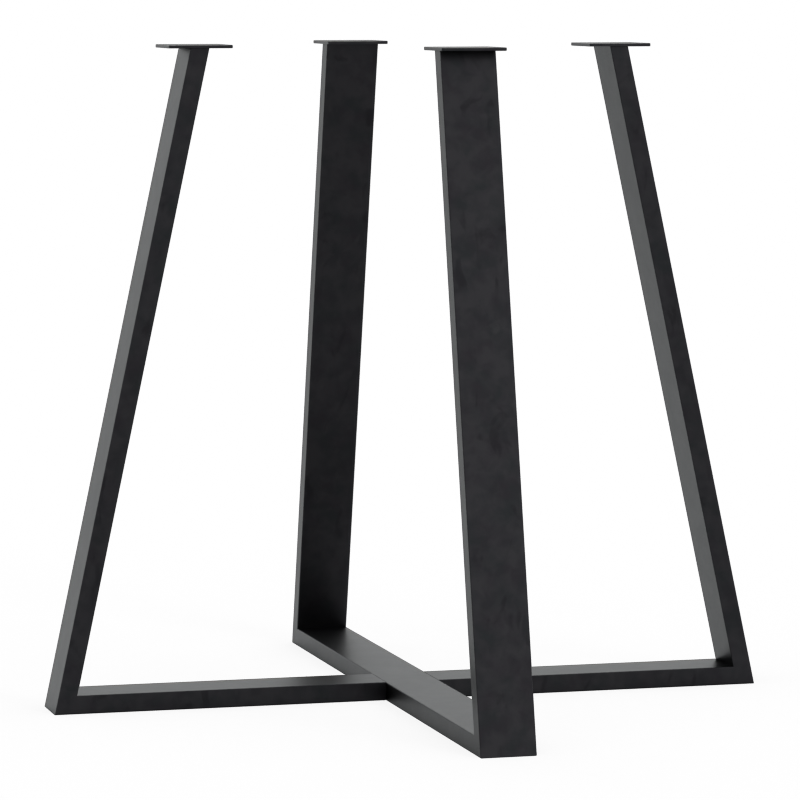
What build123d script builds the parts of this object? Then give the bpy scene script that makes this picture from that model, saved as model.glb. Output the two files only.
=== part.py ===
from build123d import *
import os
from math import atan2, cos, degrees, radians, sin

# Cross-frame table leg, in millimetres. Two splayed U frames of flat rectangular tube cross at
# right angles on the floor, and each of the four uprights carries a small square plate that
# screws to the underside of a table top. The origin is on the floor at the crossing, +Z is up,
# +X is to the right and +Y is to the back. All pieces are welded together.

# Overall sizes
frame_height = 720.0  # floor to the upper faces of the plates
base_span = 800.0  # across opposite uprights at the floor, outer face to outer face
top_span = 493.0  # the same, at the undersides of the plates

# Tube section: the wide sides face outwards and inwards, the narrow sides face along the floor
tube_width = 60.0
tube_depth = 20.0
tube_wall = 1.5
tube_outside_radius = 1.0
tube_inside_radius = 0.5

# Top plates
plate_margin = 5.0  # plate edge beyond each narrow side of the tube
plate_thickness = 3.0
plate_corner_radius = 2.0
plate_edge_chamfer = 0.3
screw_hole_diameter = 5.5
screw_hole_inset = 10.0  # plate edge to hole centre

# Sizes that follow from those above
plate_underside = frame_height - plate_thickness
plate_size = tube_width + 2 * plate_margin
screw_hole_spacing = plate_size - 2 * screw_hole_inset
lean = atan2((base_span - top_span) / 2, plate_underside)  # of each upright from the vertical
mitre_angle = (radians(90) - lean) / 2  # between the floor and the cut at each lower corner
upright_length = plate_underside / cos(lean)
upright_top_depth = tube_depth / cos(lean)  # of the level cut at the top of an upright
plate_reach = (top_span - upright_top_depth) / 2  # crossing to the middle of each plate
saw_allowance = tube_depth  # spare tube beyond each cut, trimmed off by that cut

# Each leg by the side it stands on, and its bearing in degrees about the vertical axis
bearings = {"right": 0, "back": 90, "left": 180, "front": 270}

# Planes of the right-hand leg, which stands at bearing 0: the squared-off foot of its tube with
# the outer face on the x axis, the mitre cut with the upright on its upper side, the section of
# the floor tube, and the underside of the plate
floor_corner = Vector(base_span / 2, 0, 0)
upright_foot = Plane(floor_corner, x_dir=(0, 1, 0), z_dir=(-sin(lean), 0, cos(lean)))
mitre_cut = Plane(floor_corner, x_dir=(0, 1, 0), z_dir=(sin(mitre_angle), 0, cos(mitre_angle)))
bar_section = Plane.YZ
plate_seat = Plane((plate_reach, 0, plate_underside))


def turned(plane, bearing):
    """Turn a plane of the right-hand leg about the vertical axis to the leg at a bearing."""
    return Plane(Rotation(0, 0, bearing) * plane.location)


def draw_tube_section():
    """Draw the hollow section in the open sketch, with its outer or lower side on the x axis."""
    with Locations((0, tube_depth / 2)):
        RectangleRounded(tube_width, tube_depth, tube_outside_radius)
        RectangleRounded(
            tube_width - 2 * tube_wall,
            tube_depth - 2 * tube_wall,
            tube_inside_radius,
            mode=Mode.SUBTRACT,
        )


def save(piece, name):
    """Label a finished piece and write it under its own name."""
    piece.part.label = name
    export_step(piece.part, f"parts/{name}.step")


def make_upright(side, bearing):
    """A leaning tube, mitred at the foot and cut level where its plate sits."""
    with BuildPart() as upright:
        with BuildSketch(turned(upright_foot, bearing).offset(-saw_allowance)):
            draw_tube_section()
        extrude(amount=upright_length + 2 * saw_allowance)
        split(bisect_by=turned(mitre_cut, bearing), keep=Keep.TOP)
        split(bisect_by=Plane.XY.offset(plate_underside), keep=Keep.BOTTOM)
    save(upright, f"upright_{side}")


def make_through_bar():
    """The floor tube that runs unbroken from the front leg to the back leg."""
    with BuildPart() as through_bar:
        with BuildSketch(turned(bar_section, bearings["back"])):
            draw_tube_section()
        extrude(amount=base_span / 2 + saw_allowance, both=True)
        for side in ("front", "back"):
            split(bisect_by=turned(mitre_cut, bearings[side]), keep=Keep.BOTTOM)
    save(through_bar, "base_bar_through")


def make_half_bar(side, bearing):
    """Half of the other floor tube, cut square where it butts on the side of the through bar."""
    with BuildPart() as half_bar:
        with BuildSketch(turned(bar_section.offset(tube_width / 2), bearing)):
            draw_tube_section()
        extrude(amount=(base_span - tube_width) / 2 + saw_allowance)
        split(bisect_by=turned(mitre_cut, bearing), keep=Keep.BOTTOM)
    save(half_bar, f"base_bar_{side}")


def make_plate(side, bearing):
    """A square plate on the top of an upright, drilled near its corners for wood screws."""
    seat = turned(plate_seat, bearing)
    with BuildPart() as plate:
        with BuildSketch(seat):
            RectangleRounded(plate_size, plate_size, plate_corner_radius)
        extrude(amount=plate_thickness)
        rims = plate.faces().filter_by(Axis.Z).edges()
        chamfer(rims, plate_edge_chamfer)
        with Locations(seat.offset(plate_thickness)):
            with GridLocations(screw_hole_spacing, screw_hole_spacing, 2, 2):
                Hole(screw_hole_diameter / 2)
    save(plate, f"top_plate_{side}")


os.makedirs("parts", exist_ok=True)
print(f"uprights lean {degrees(lean):.2f} degrees, mitres at {degrees(mitre_angle):.2f} degrees")
make_through_bar()
for half in ("left", "right"):
    make_half_bar(half, bearings[half])
for leg, leg_bearing in bearings.items():
    make_upright(leg, leg_bearing)
    make_plate(leg, leg_bearing)
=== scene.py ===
import math

import bpy
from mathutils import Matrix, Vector

bl_info = {
    "name": "Cross-frame table leg",
    "version": (1, 0, 0),
    "blender": (4, 5, 0),
    "location": "3D View > Sidebar > Table Leg",
    "description": "Finishes a crossed tube table leg in satin black powder coat and sets it in a studio",
    "category": "Object",
}

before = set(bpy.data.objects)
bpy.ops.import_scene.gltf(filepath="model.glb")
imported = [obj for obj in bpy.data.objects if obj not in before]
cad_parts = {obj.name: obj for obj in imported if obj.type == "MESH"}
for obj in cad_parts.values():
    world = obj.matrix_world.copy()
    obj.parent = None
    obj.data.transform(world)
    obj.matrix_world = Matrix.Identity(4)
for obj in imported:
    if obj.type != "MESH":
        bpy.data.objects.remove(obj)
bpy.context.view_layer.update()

UPRIGHTS = ("upright_front", "upright_back", "upright_left", "upright_right")
FLOOR_TUBES = ("base_bar_through", "base_bar_left", "base_bar_right")
TOP_PLATES = ("top_plate_front", "top_plate_back", "top_plate_left", "top_plate_right")

# Markings of the coat: the values of the noise at which each one starts and is full, and how strong
# it is there. The noises run from 0 to 1, and the clouds' value has the weighted blotches added.
PALE_CLOUDS = (0.93, 1.40)
BLOTCH_WEIGHT = 1.3
TINT_PATCHES = (0.36, 0.64)
TINT_PATCH_SHARE = 0.7  # size of a patch of tint against the size of a cloud
SMUDGES = (0.40, 0.28)
SMUDGE_STRENGTH = 0.6
RUBS = (0.66, 0.78)
RUB_STRENGTH = 0.55
MARK_SQUEEZE = (1.0, 1.0, 0.5)  # half as many marks along the height, so that they are drawn out upwards

# Square softboxes of the studio: place, the point each one faces and side in metres, power in watts.
# One that is only for the floor throws no shadow and doesn't show in the coat.
SOFTBOXES = {
    "front_softbox": {
        "place": (1.9, -4.2, 1.7),
        "aim": (0.2, 0.0, 0.4),
        "side": 1.6,
        "power": 10.0,
        "floor_only": False,
    },
    "floor_wash": {
        "place": (0.0, 0.0, 4.0),
        "aim": (0.0, 0.0, 0.0),
        "side": 6.0,
        "power": 220.0,
        "floor_only": True,
    },
}

# Painted light and shade: how bright the floor glows where the coat mirrors it, in place of lamplight on
# it, at distances behind the crossing in metres
PAINTED_FLOOR_LIGHT = (
    (-4.0, 0.86),
    (-1.2, 0.76),
    (-0.6, 0.74),
    (-0.2, 0.94),
    (0.3, 1.0),
    (1.6, 1.0),
    (4.5, 0.88),
)
# The shade that the leg puts on that floor: how far it reaches in metres, how deep it is, rays to find it
CONTACT_REACH = 0.5
CONTACT_DEPTH = 1.4
CONTACT_RAYS = 8
# How often light is mirrored and still shows the studio: with one, the coat's nooks stay dark
REFLECTIONS = 1

SENSOR_WIDTH = 36.0  # of the camera, in millimetres
CAMERA_REACH = 1000.0  # furthest distance that the camera sees, in metres, beyond the floor's corners
NODE_SPACING = 200  # between nodes in the shader editor


class PowderCoatSettings(bpy.types.PropertyGroup):
    """The satin black powder coat on every tube and plate"""

    colour: bpy.props.FloatVectorProperty(
        name="Colour",
        description="Colour of the coat at its darkest",
        subtype="COLOR",
        size=3,
        min=0.0,
        max=1.0,
        default=(0.0216, 0.0204, 0.0233),
    )
    tint_colour: bpy.props.FloatVectorProperty(
        name="Tint Colour",
        description="Colour that the darkest coat drifts to from patch to patch",
        subtype="COLOR",
        size=3,
        min=0.0,
        max=1.0,
        default=(0.0197, 0.0213, 0.0229),
    )
    cloud_colour: bpy.props.FloatVectorProperty(
        name="Cloud Colour",
        description="Colour of the faint paler clouds in the coat",
        subtype="COLOR",
        size=3,
        min=0.0,
        max=1.0,
        default=(0.0272, 0.0268, 0.0292),
    )
    smudge_colour: bpy.props.FloatVectorProperty(
        name="Smudge Colour",
        description="Colour of the few dark smudges in the coat",
        subtype="COLOR",
        size=3,
        min=0.0,
        max=1.0,
        default=(0.0140, 0.0137, 0.0155),
    )
    rub_colour: bpy.props.FloatVectorProperty(
        name="Rub Colour",
        description="Colour of the few pale marks where the coat was rubbed",
        subtype="COLOR",
        size=3,
        min=0.0,
        max=1.0,
        default=(0.0345, 0.0342, 0.0362),
    )
    sheen_colour: bpy.props.FloatVectorProperty(
        name="Sheen Colour",
        description="Colour of the coat's sheen at a glancing angle",
        subtype="COLOR",
        size=3,
        min=0.0,
        max=1.0,
        default=(0.983, 1.0, 1.0),
    )
    cloud_size: bpy.props.FloatProperty(
        name="Cloud Size",
        description="Distance across one cloud in the coat",
        subtype="DISTANCE",
        unit="LENGTH",
        min=0.001,
        default=0.035,
    )
    blotch_size: bpy.props.FloatProperty(
        name="Blotch Size",
        description="Distance across one of the small blotches within the clouds",
        subtype="DISTANCE",
        unit="LENGTH",
        min=0.001,
        default=0.014,
    )
    mark_size: bpy.props.FloatProperty(
        name="Mark Size",
        description="Distance across one of the dark smudges or pale rubs",
        subtype="DISTANCE",
        unit="LENGTH",
        min=0.001,
        default=0.021,
    )
    roughness: bpy.props.FloatProperty(
        name="Roughness",
        description="Roughness of the coat where it is smoothest",
        subtype="FACTOR",
        min=0.0,
        max=1.0,
        default=0.392,
    )
    roughness_spread: bpy.props.FloatProperty(
        name="Roughness Spread",
        description="How much rougher the coat gets between its clouds",
        subtype="FACTOR",
        min=0.0,
        max=1.0,
        default=0.008,
    )
    peel_size: bpy.props.FloatProperty(
        name="Peel Size",
        description="Distance across one dimple of the coat's orange peel",
        subtype="DISTANCE",
        unit="LENGTH",
        min=0.0001,
        default=0.0014,
    )
    peel_depth: bpy.props.FloatProperty(
        name="Peel Depth",
        description="Depth of the orange peel's dimples",
        subtype="DISTANCE",
        unit="LENGTH",
        min=0.0,
        default=0.000025,
    )


class StudioSettings(bpy.types.PropertyGroup):
    """The floor, the light and the camera"""

    floor_colour: bpy.props.FloatVectorProperty(
        name="Floor Colour",
        description="Colour of the pale studio floor",
        subtype="COLOR",
        size=3,
        min=0.0,
        max=1.0,
        default=(0.75, 0.75, 0.75),
    )
    floor_radius: bpy.props.FloatProperty(
        name="Floor Radius",
        description="Distance from the middle of the floor to its edge",
        subtype="DISTANCE",
        unit="LENGTH",
        min=1.0,
        default=200.0,
    )
    backdrop_colour: bpy.props.FloatVectorProperty(
        name="Backdrop Colour",
        description="Colour of the backdrop, as the camera and the coat see it",
        subtype="COLOR",
        size=3,
        min=0.0,
        max=1.0,
        default=(1.0, 1.0, 1.0),
    )
    fill_colour: bpy.props.FloatVectorProperty(
        name="Fill Colour",
        description="Colour of the soft light that comes from all round",
        subtype="COLOR",
        size=3,
        min=0.0,
        max=1.0,
        default=(0.18, 0.18, 0.18),
    )
    camera_azimuth: bpy.props.FloatProperty(
        name="Camera Azimuth",
        description="Direction in which the camera looks, turned from straight back towards the right",
        subtype="ANGLE",
        unit="ROTATION",
        default=math.radians(15.30769),
    )
    camera_pitch: bpy.props.FloatProperty(
        name="Camera Pitch",
        description="How far the camera looks down from the level",
        subtype="ANGLE",
        unit="ROTATION",
        default=math.radians(5.6023),
    )
    camera_distance: bpy.props.FloatProperty(
        name="Camera Distance",
        description="Level distance from the camera to the middle of the leg",
        subtype="DISTANCE",
        unit="LENGTH",
        default=4.749485,
    )
    camera_height: bpy.props.FloatProperty(
        name="Camera Height",
        description="Height of the camera above the floor",
        subtype="DISTANCE",
        unit="LENGTH",
        default=0.794467,
    )
    camera_sidestep: bpy.props.FloatProperty(
        name="Camera Sidestep",
        description="How far the camera stands to the right of the line through the middle of the leg",
        subtype="DISTANCE",
        unit="LENGTH",
        default=-0.005539,
    )
    camera_lens: bpy.props.FloatProperty(
        name="Camera Lens",
        description="Focal length in millimetres",
        subtype="DISTANCE_CAMERA",
        unit="CAMERA",
        min=1.0,
        default=194.7474,
    )


def empty_tree(owner):
    """The node tree of a material or a world, with nothing in it yet."""
    owner.use_nodes = True
    owner.node_tree.nodes.clear()
    return owner.node_tree


def add_node(tree, kind, place, **values):
    """Add a node to a tree at a grid place and set its named options."""
    node = tree.nodes.new(kind)
    node.location = (place[0] * NODE_SPACING, -place[1] * NODE_SPACING)
    for name, value in values.items():
        setattr(node, name, value)
    return node


def noise(tree, place, vector, size, detail=2.0, distortion=0.0):
    """A noise over the leg's own metres, with patches of about one size across."""
    node = add_node(tree, "ShaderNodeTexNoise", place)
    node.inputs["Scale"].default_value = 1.0 / size
    node.inputs["Detail"].default_value = detail
    node.inputs["Distortion"].default_value = distortion
    tree.links.new(vector, node.inputs["Vector"])
    return node.outputs["Fac"]


def spread(tree, place, value, ends, to_start=0.0, to_end=1.0, smooth=False):
    """Map a value from between two ends to between two others, and hold it there."""
    node = add_node(tree, "ShaderNodeMapRange", place)
    node.interpolation_type = "SMOOTHSTEP" if smooth else "LINEAR"
    node.inputs["From Min"].default_value = ends[0]
    node.inputs["From Max"].default_value = ends[1]
    node.inputs["To Min"].default_value = to_start
    node.inputs["To Max"].default_value = to_end
    tree.links.new(value, node.inputs["Value"])
    return node.outputs["Result"]


def reckon(tree, place, operation, first, second):
    """Arithmetic on two values, of which the second may be a plain number."""
    node = add_node(tree, "ShaderNodeMath", place, operation=operation)
    tree.links.new(first, node.inputs[0])
    if isinstance(second, float):
        node.inputs[1].default_value = second
    else:
        tree.links.new(second, node.inputs[1])
    return node.outputs["Value"]


def blend(tree, place, factor, first, second):
    """Blend two colours, either of which may be a plain colour."""
    node = add_node(tree, "ShaderNodeMix", place, data_type="RGBA")
    tree.links.new(factor, node.inputs["Factor"])
    for socket, colour in (("A", first), ("B", second)):
        if isinstance(colour, tuple):
            node.inputs[socket].default_value = (*colour, 1.0)
        else:
            tree.links.new(colour, node.inputs[socket])
    return node.outputs["Result"]


def powder_coat(coat):
    """The black powder coat, with clouds, smudges, rubs and orange peel.

    The coat mirrors the studio and has no light of its own, as black pigment has none. Its colours
    are how much of the studio it gives back when seen straight on.
    """
    name = "satin_black_coat"
    material = bpy.data.materials.get(name)
    if material is not None:
        return material
    material = bpy.data.materials.new(name)
    tree = empty_tree(material)
    link = tree.links.new
    output = add_node(tree, "ShaderNodeOutputMaterial", (8, 0))
    shader = add_node(tree, "ShaderNodeBsdfPrincipled", (7, 0))
    shader.inputs["Metallic"].default_value = 1.0
    shader.inputs["Specular Tint"].default_value = (*coat.sheen_colour, 1.0)
    link(shader.outputs["BSDF"], output.inputs["Surface"])
    where = add_node(tree, "ShaderNodeTexCoord", (0, 0)).outputs["Object"]

    # Pale clouds, broken up by blotches, over a dark coat that drifts in tint
    clouds = noise(tree, (1, 0), where, coat.cloud_size, distortion=0.2)
    blotches = noise(tree, (1, 1), where, coat.blotch_size, detail=3.0, distortion=0.4)
    weighted = reckon(tree, (2, 1), "MULTIPLY", blotches, BLOTCH_WEIGHT)
    mottling = reckon(tree, (3, 0), "ADD", weighted, clouds)
    drift = noise(tree, (1, 2), where, coat.cloud_size * TINT_PATCH_SHARE)
    tint = spread(tree, (2, 2), drift, TINT_PATCHES)
    dark = blend(tree, (3, 2), tint, tuple(coat.colour), tuple(coat.tint_colour))
    pale = spread(tree, (4, 0), mottling, PALE_CLOUDS)
    mottled = blend(tree, (5, 0), pale, dark, tuple(coat.cloud_colour))

    # A few dark smudges and pale rubs, drawn out upwards
    squeezed = add_node(tree, "ShaderNodeMapping", (0, 3))
    squeezed.inputs["Scale"].default_value = MARK_SQUEEZE
    link(where, squeezed.inputs["Vector"])
    marks = noise(tree, (1, 3), squeezed.outputs["Vector"], coat.mark_size, detail=3.0, distortion=0.6)
    smudges = spread(tree, (2, 3), marks, SMUDGES, to_end=SMUDGE_STRENGTH, smooth=True)
    rubs = spread(tree, (2, 4), marks, RUBS, to_end=RUB_STRENGTH, smooth=True)
    smudged = blend(tree, (5, 1), smudges, mottled, tuple(coat.smudge_colour))
    marked = blend(tree, (6, 0), rubs, smudged, tuple(coat.rub_colour))
    link(marked, shader.inputs["Base Color"])

    # Smoothest in the clouds
    roughest = coat.roughness + coat.roughness_spread
    gloss = spread(tree, (5, 2), mottling, PALE_CLOUDS, roughest, coat.roughness)
    link(gloss, shader.inputs["Roughness"])

    peel = noise(tree, (4, 4), where, coat.peel_size)
    dimples = add_node(tree, "ShaderNodeBump", (6, 3))
    dimples.inputs["Strength"].default_value = 1.0
    dimples.inputs["Distance"].default_value = coat.peel_depth
    link(peel, dimples.inputs["Height"])
    link(dimples.outputs["Normal"], shader.inputs["Normal"])
    return material


def coat_nodes(context, names):
    """Give the powder coat to the tubes or plates of these names."""
    material = powder_coat(context.scene.leg_coat)
    for name in names:
        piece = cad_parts.get(name)
        if piece is None:
            raise RuntimeError(f"the packed leg has no piece named {name}")
        piece.data.materials.clear()
        piece.data.materials.append(material)


class TABLELEG_OT_coat_uprights(bpy.types.Operator):
    """Powder-coat the four leaning uprights"""

    bl_idname = "table_leg.coat_uprights"
    bl_label = "Coat Uprights"

    def execute(self, context):
        coat_nodes(context, UPRIGHTS)
        return {"FINISHED"}


class TABLELEG_OT_coat_floor_tubes(bpy.types.Operator):
    """Powder-coat the through bar and the two half bars that cross on the floor"""

    bl_idname = "table_leg.coat_floor_tubes"
    bl_label = "Coat Floor Tubes"

    def execute(self, context):
        coat_nodes(context, FLOOR_TUBES)
        return {"FINISHED"}


class TABLELEG_OT_coat_top_plates(bpy.types.Operator):
    """Powder-coat the four screw plates"""

    bl_idname = "table_leg.coat_top_plates"
    bl_label = "Coat Top Plates"

    def execute(self, context):
        coat_nodes(context, TOP_PLATES)
        return {"FINISHED"}


def studio_rays(tree, place, kinds):
    """A factor that is 1 for the kinds of ray that show the studio as it is painted."""
    rays = add_node(tree, "ShaderNodeLightPath", place)
    shown = rays.outputs[kinds[0]]
    for step, kind in enumerate(kinds[1:], 1):
        shown = reckon(tree, (place[0] + step, place[1]), "MAXIMUM", shown, rays.outputs[kind])
    return shown


def shown_reflections(tree, place):
    """A factor that is 1 up to the last reflection that shows the studio, and 0 in those behind it."""
    depth = add_node(tree, "ShaderNodeLightPath", place).outputs["Glossy Depth"]
    limit = REFLECTIONS + 0.5  # depths are whole numbers
    return reckon(tree, (place[0] + 1, place[1]), "LESS_THAN", depth, limit)


def painted_floor_glow(tree, place):
    """The painted light and shade that the floor shows in the coat, by its distance behind the crossing.
    """
    column, row = place
    where = add_node(tree, "ShaderNodeTexCoord", place).outputs["Object"]
    axes = add_node(tree, "ShaderNodeSeparateXYZ", (column + 1, row))
    tree.links.new(where, axes.inputs["Vector"])
    nearest = PAINTED_FLOOR_LIGHT[0][0]
    furthest = PAINTED_FLOOR_LIGHT[-1][0]
    along = spread(tree, (column + 2, row), axes.outputs["Y"], (nearest, furthest))
    tone = add_node(tree, "ShaderNodeValToRGB", (column + 3, row))
    tree.links.new(along, tone.inputs["Fac"])
    stops = tone.color_ramp.elements
    while len(stops) < len(PAINTED_FLOOR_LIGHT):
        stops.new(1.0)
    for stop, (distance, level) in zip(stops, PAINTED_FLOOR_LIGHT):
        stop.position = (distance - nearest) / (furthest - nearest)
        stop.color = (level, level, level, 1.0)
    return tone.outputs["Color"]


def contact_shade(tree, place):
    """A factor that darkens the floor around the leg where it shows in the coat."""
    column, row = place
    nook = add_node(tree, "ShaderNodeAmbientOcclusion", place, samples=CONTACT_RAYS)
    nook.inputs["Distance"].default_value = CONTACT_REACH
    return reckon(tree, (column + 1, row), "POWER", nook.outputs["AO"], CONTACT_DEPTH)


def floor_paint(studio):
    """Matt paint that takes the leg's shadow, and shows the coat a painted glow, with painted shade
    around the leg.
    """
    material = bpy.data.materials.new("studio_floor")
    tree = empty_tree(material)
    link = tree.links.new
    output = add_node(tree, "ShaderNodeOutputMaterial", (7, 0))
    shown = add_node(tree, "ShaderNodeMixShader", (6, 0))
    matt = add_node(tree, "ShaderNodeBsdfDiffuse", (5, 1))
    matt.inputs["Color"].default_value = (*studio.floor_colour, 1.0)
    # Painted glow: the floor's light as the coat mirrors it, dimmed by painted shade around the leg
    mirrored = add_node(tree, "ShaderNodeEmission", (5, 2))
    link(painted_floor_glow(tree, (0, 2)), mirrored.inputs["Color"])
    shade = contact_shade(tree, (1, 3))
    level = reckon(tree, (4, 3), "MULTIPLY", shade, shown_reflections(tree, (1, 4)))
    link(level, mirrored.inputs["Strength"])
    link(studio_rays(tree, (2, 0), ("Is Glossy Ray", "Is Transmission Ray")), shown.inputs["Fac"])
    link(matt.outputs["BSDF"], shown.inputs[1])
    link(mirrored.outputs["Emission"], shown.inputs[2])
    link(shown.outputs["Shader"], output.inputs["Surface"])
    return material


def build_floor(studio):
    """A level floor under the leg, of which the camera sees only the shadow on the backdrop."""
    mesh = bpy.data.meshes.new("studio_floor")
    edge = studio.floor_radius
    corners = [(-edge, -edge, 0), (edge, -edge, 0), (edge, edge, 0), (-edge, edge, 0)]
    mesh.from_pydata(corners, [], [(0, 1, 2, 3)])
    mesh.materials.append(floor_paint(studio))
    floor = bpy.data.objects.new("studio_floor", mesh)
    floor.is_shadow_catcher = True
    bpy.context.scene.collection.objects.link(floor)


def build_backdrop(studio):
    """A white backdrop all round, which gives the leg and the floor only a soft fill light."""
    world = bpy.data.worlds.new("studio")
    bpy.context.scene.world = world
    tree = empty_tree(world)
    link = tree.links.new
    output = add_node(tree, "ShaderNodeOutputWorld", (5, 0))
    shown = add_node(tree, "ShaderNodeMixShader", (4, 0))
    backdrop = add_node(tree, "ShaderNodeBackground", (3, 0))
    backdrop.inputs["Color"].default_value = (*studio.backdrop_colour, 1.0)
    link(shown_reflections(tree, (0, 1)), backdrop.inputs["Strength"])
    fill = add_node(tree, "ShaderNodeBackground", (3, 1))
    fill.inputs["Color"].default_value = (*studio.fill_colour, 1.0)
    kinds = ("Is Camera Ray", "Is Glossy Ray", "Is Transmission Ray")
    link(studio_rays(tree, (0, 2), kinds), shown.inputs["Fac"])
    link(fill.outputs["Background"], shown.inputs[1])
    link(backdrop.outputs["Background"], shown.inputs[2])
    link(shown.outputs["Shader"], output.inputs["Surface"])


def hang_softboxes():
    """A softbox in front of the leg, and a wash of light over the floor."""
    for name, box in SOFTBOXES.items():
        lamp = bpy.data.lights.new(name, "AREA")
        lamp.shape = "SQUARE"
        lamp.size = box["side"]
        lamp.energy = box["power"]
        lamp.use_shadow = not box["floor_only"]
        # With this on, half of a floor lamp's light would still be shadowed
        lamp.cycles.use_multiple_importance_sampling = not box["floor_only"]
        softbox = bpy.data.objects.new(name, lamp)
        place = Vector(box["place"])
        facing = Vector(box["aim"]) - place
        softbox.location = place
        softbox.rotation_euler = facing.to_track_quat("-Z", "Y").to_euler()
        softbox.visible_glossy = not box["floor_only"]
        bpy.context.scene.collection.objects.link(softbox)


def build_camera(studio):
    """A camera with a long lens, a little above the plates and to the left of the front upright."""
    azimuth = studio.camera_azimuth
    pitch = studio.camera_pitch
    level = Vector((math.sin(azimuth), math.cos(azimuth), 0.0))
    right = Vector((math.cos(azimuth), -math.sin(azimuth), 0.0))
    data = bpy.data.cameras.new("studio_camera")
    data.sensor_width = SENSOR_WIDTH
    data.lens = studio.camera_lens
    data.clip_end = CAMERA_REACH
    camera = bpy.data.objects.new("studio_camera", data)
    camera.location = right * studio.camera_sidestep - level * studio.camera_distance
    camera.location.z = studio.camera_height
    gaze = level * math.cos(pitch) - Vector((0, 0, math.sin(pitch)))
    camera.rotation_euler = gaze.to_track_quat("-Z", "Y").to_euler()
    scene = bpy.context.scene
    scene.collection.objects.link(camera)
    scene.camera = camera


class TABLELEG_OT_set_studio(bpy.types.Operator):
    """Lay the pale floor, hang the light and place the camera"""

    bl_idname = "table_leg.set_studio"
    bl_label = "Set Studio"

    def execute(self, context):
        studio = context.scene.leg_studio
        build_floor(studio)
        build_backdrop(studio)
        hang_softboxes()
        build_camera(studio)
        context.scene.view_settings.view_transform = "Standard"
        return {"FINISHED"}


class TABLELEG_PT_sidebar(bpy.types.Panel):
    """The table leg's finish and studio"""

    bl_idname = "TABLELEG_PT_sidebar"
    bl_label = "Table Leg"
    bl_space_type = "VIEW_3D"
    bl_region_type = "UI"
    bl_category = "Table Leg"

    def draw(self, context):
        layout = self.layout
        for settings in (context.scene.leg_coat, context.scene.leg_studio):
            for name in settings.__annotations__:
                layout.prop(settings, name)
        for operator in OPERATORS:
            layout.operator(operator.bl_idname)


OPERATORS = (
    TABLELEG_OT_coat_uprights,
    TABLELEG_OT_coat_floor_tubes,
    TABLELEG_OT_coat_top_plates,
    TABLELEG_OT_set_studio,
)
CLASSES = (PowderCoatSettings, StudioSettings, *OPERATORS, TABLELEG_PT_sidebar)


def register():
    for cls in CLASSES:
        bpy.utils.register_class(cls)
    bpy.types.Scene.leg_coat = bpy.props.PointerProperty(type=PowderCoatSettings)
    bpy.types.Scene.leg_studio = bpy.props.PointerProperty(type=StudioSettings)


def unregister():
    del bpy.types.Scene.leg_studio
    del bpy.types.Scene.leg_coat
    for cls in reversed(CLASSES):
        bpy.utils.unregister_class(cls)


def main():
    register()
    bpy.ops.table_leg.coat_uprights()
    bpy.ops.table_leg.coat_floor_tubes()
    bpy.ops.table_leg.coat_top_plates()
    bpy.ops.table_leg.set_studio()


if __name__ == "__main__":
    main()
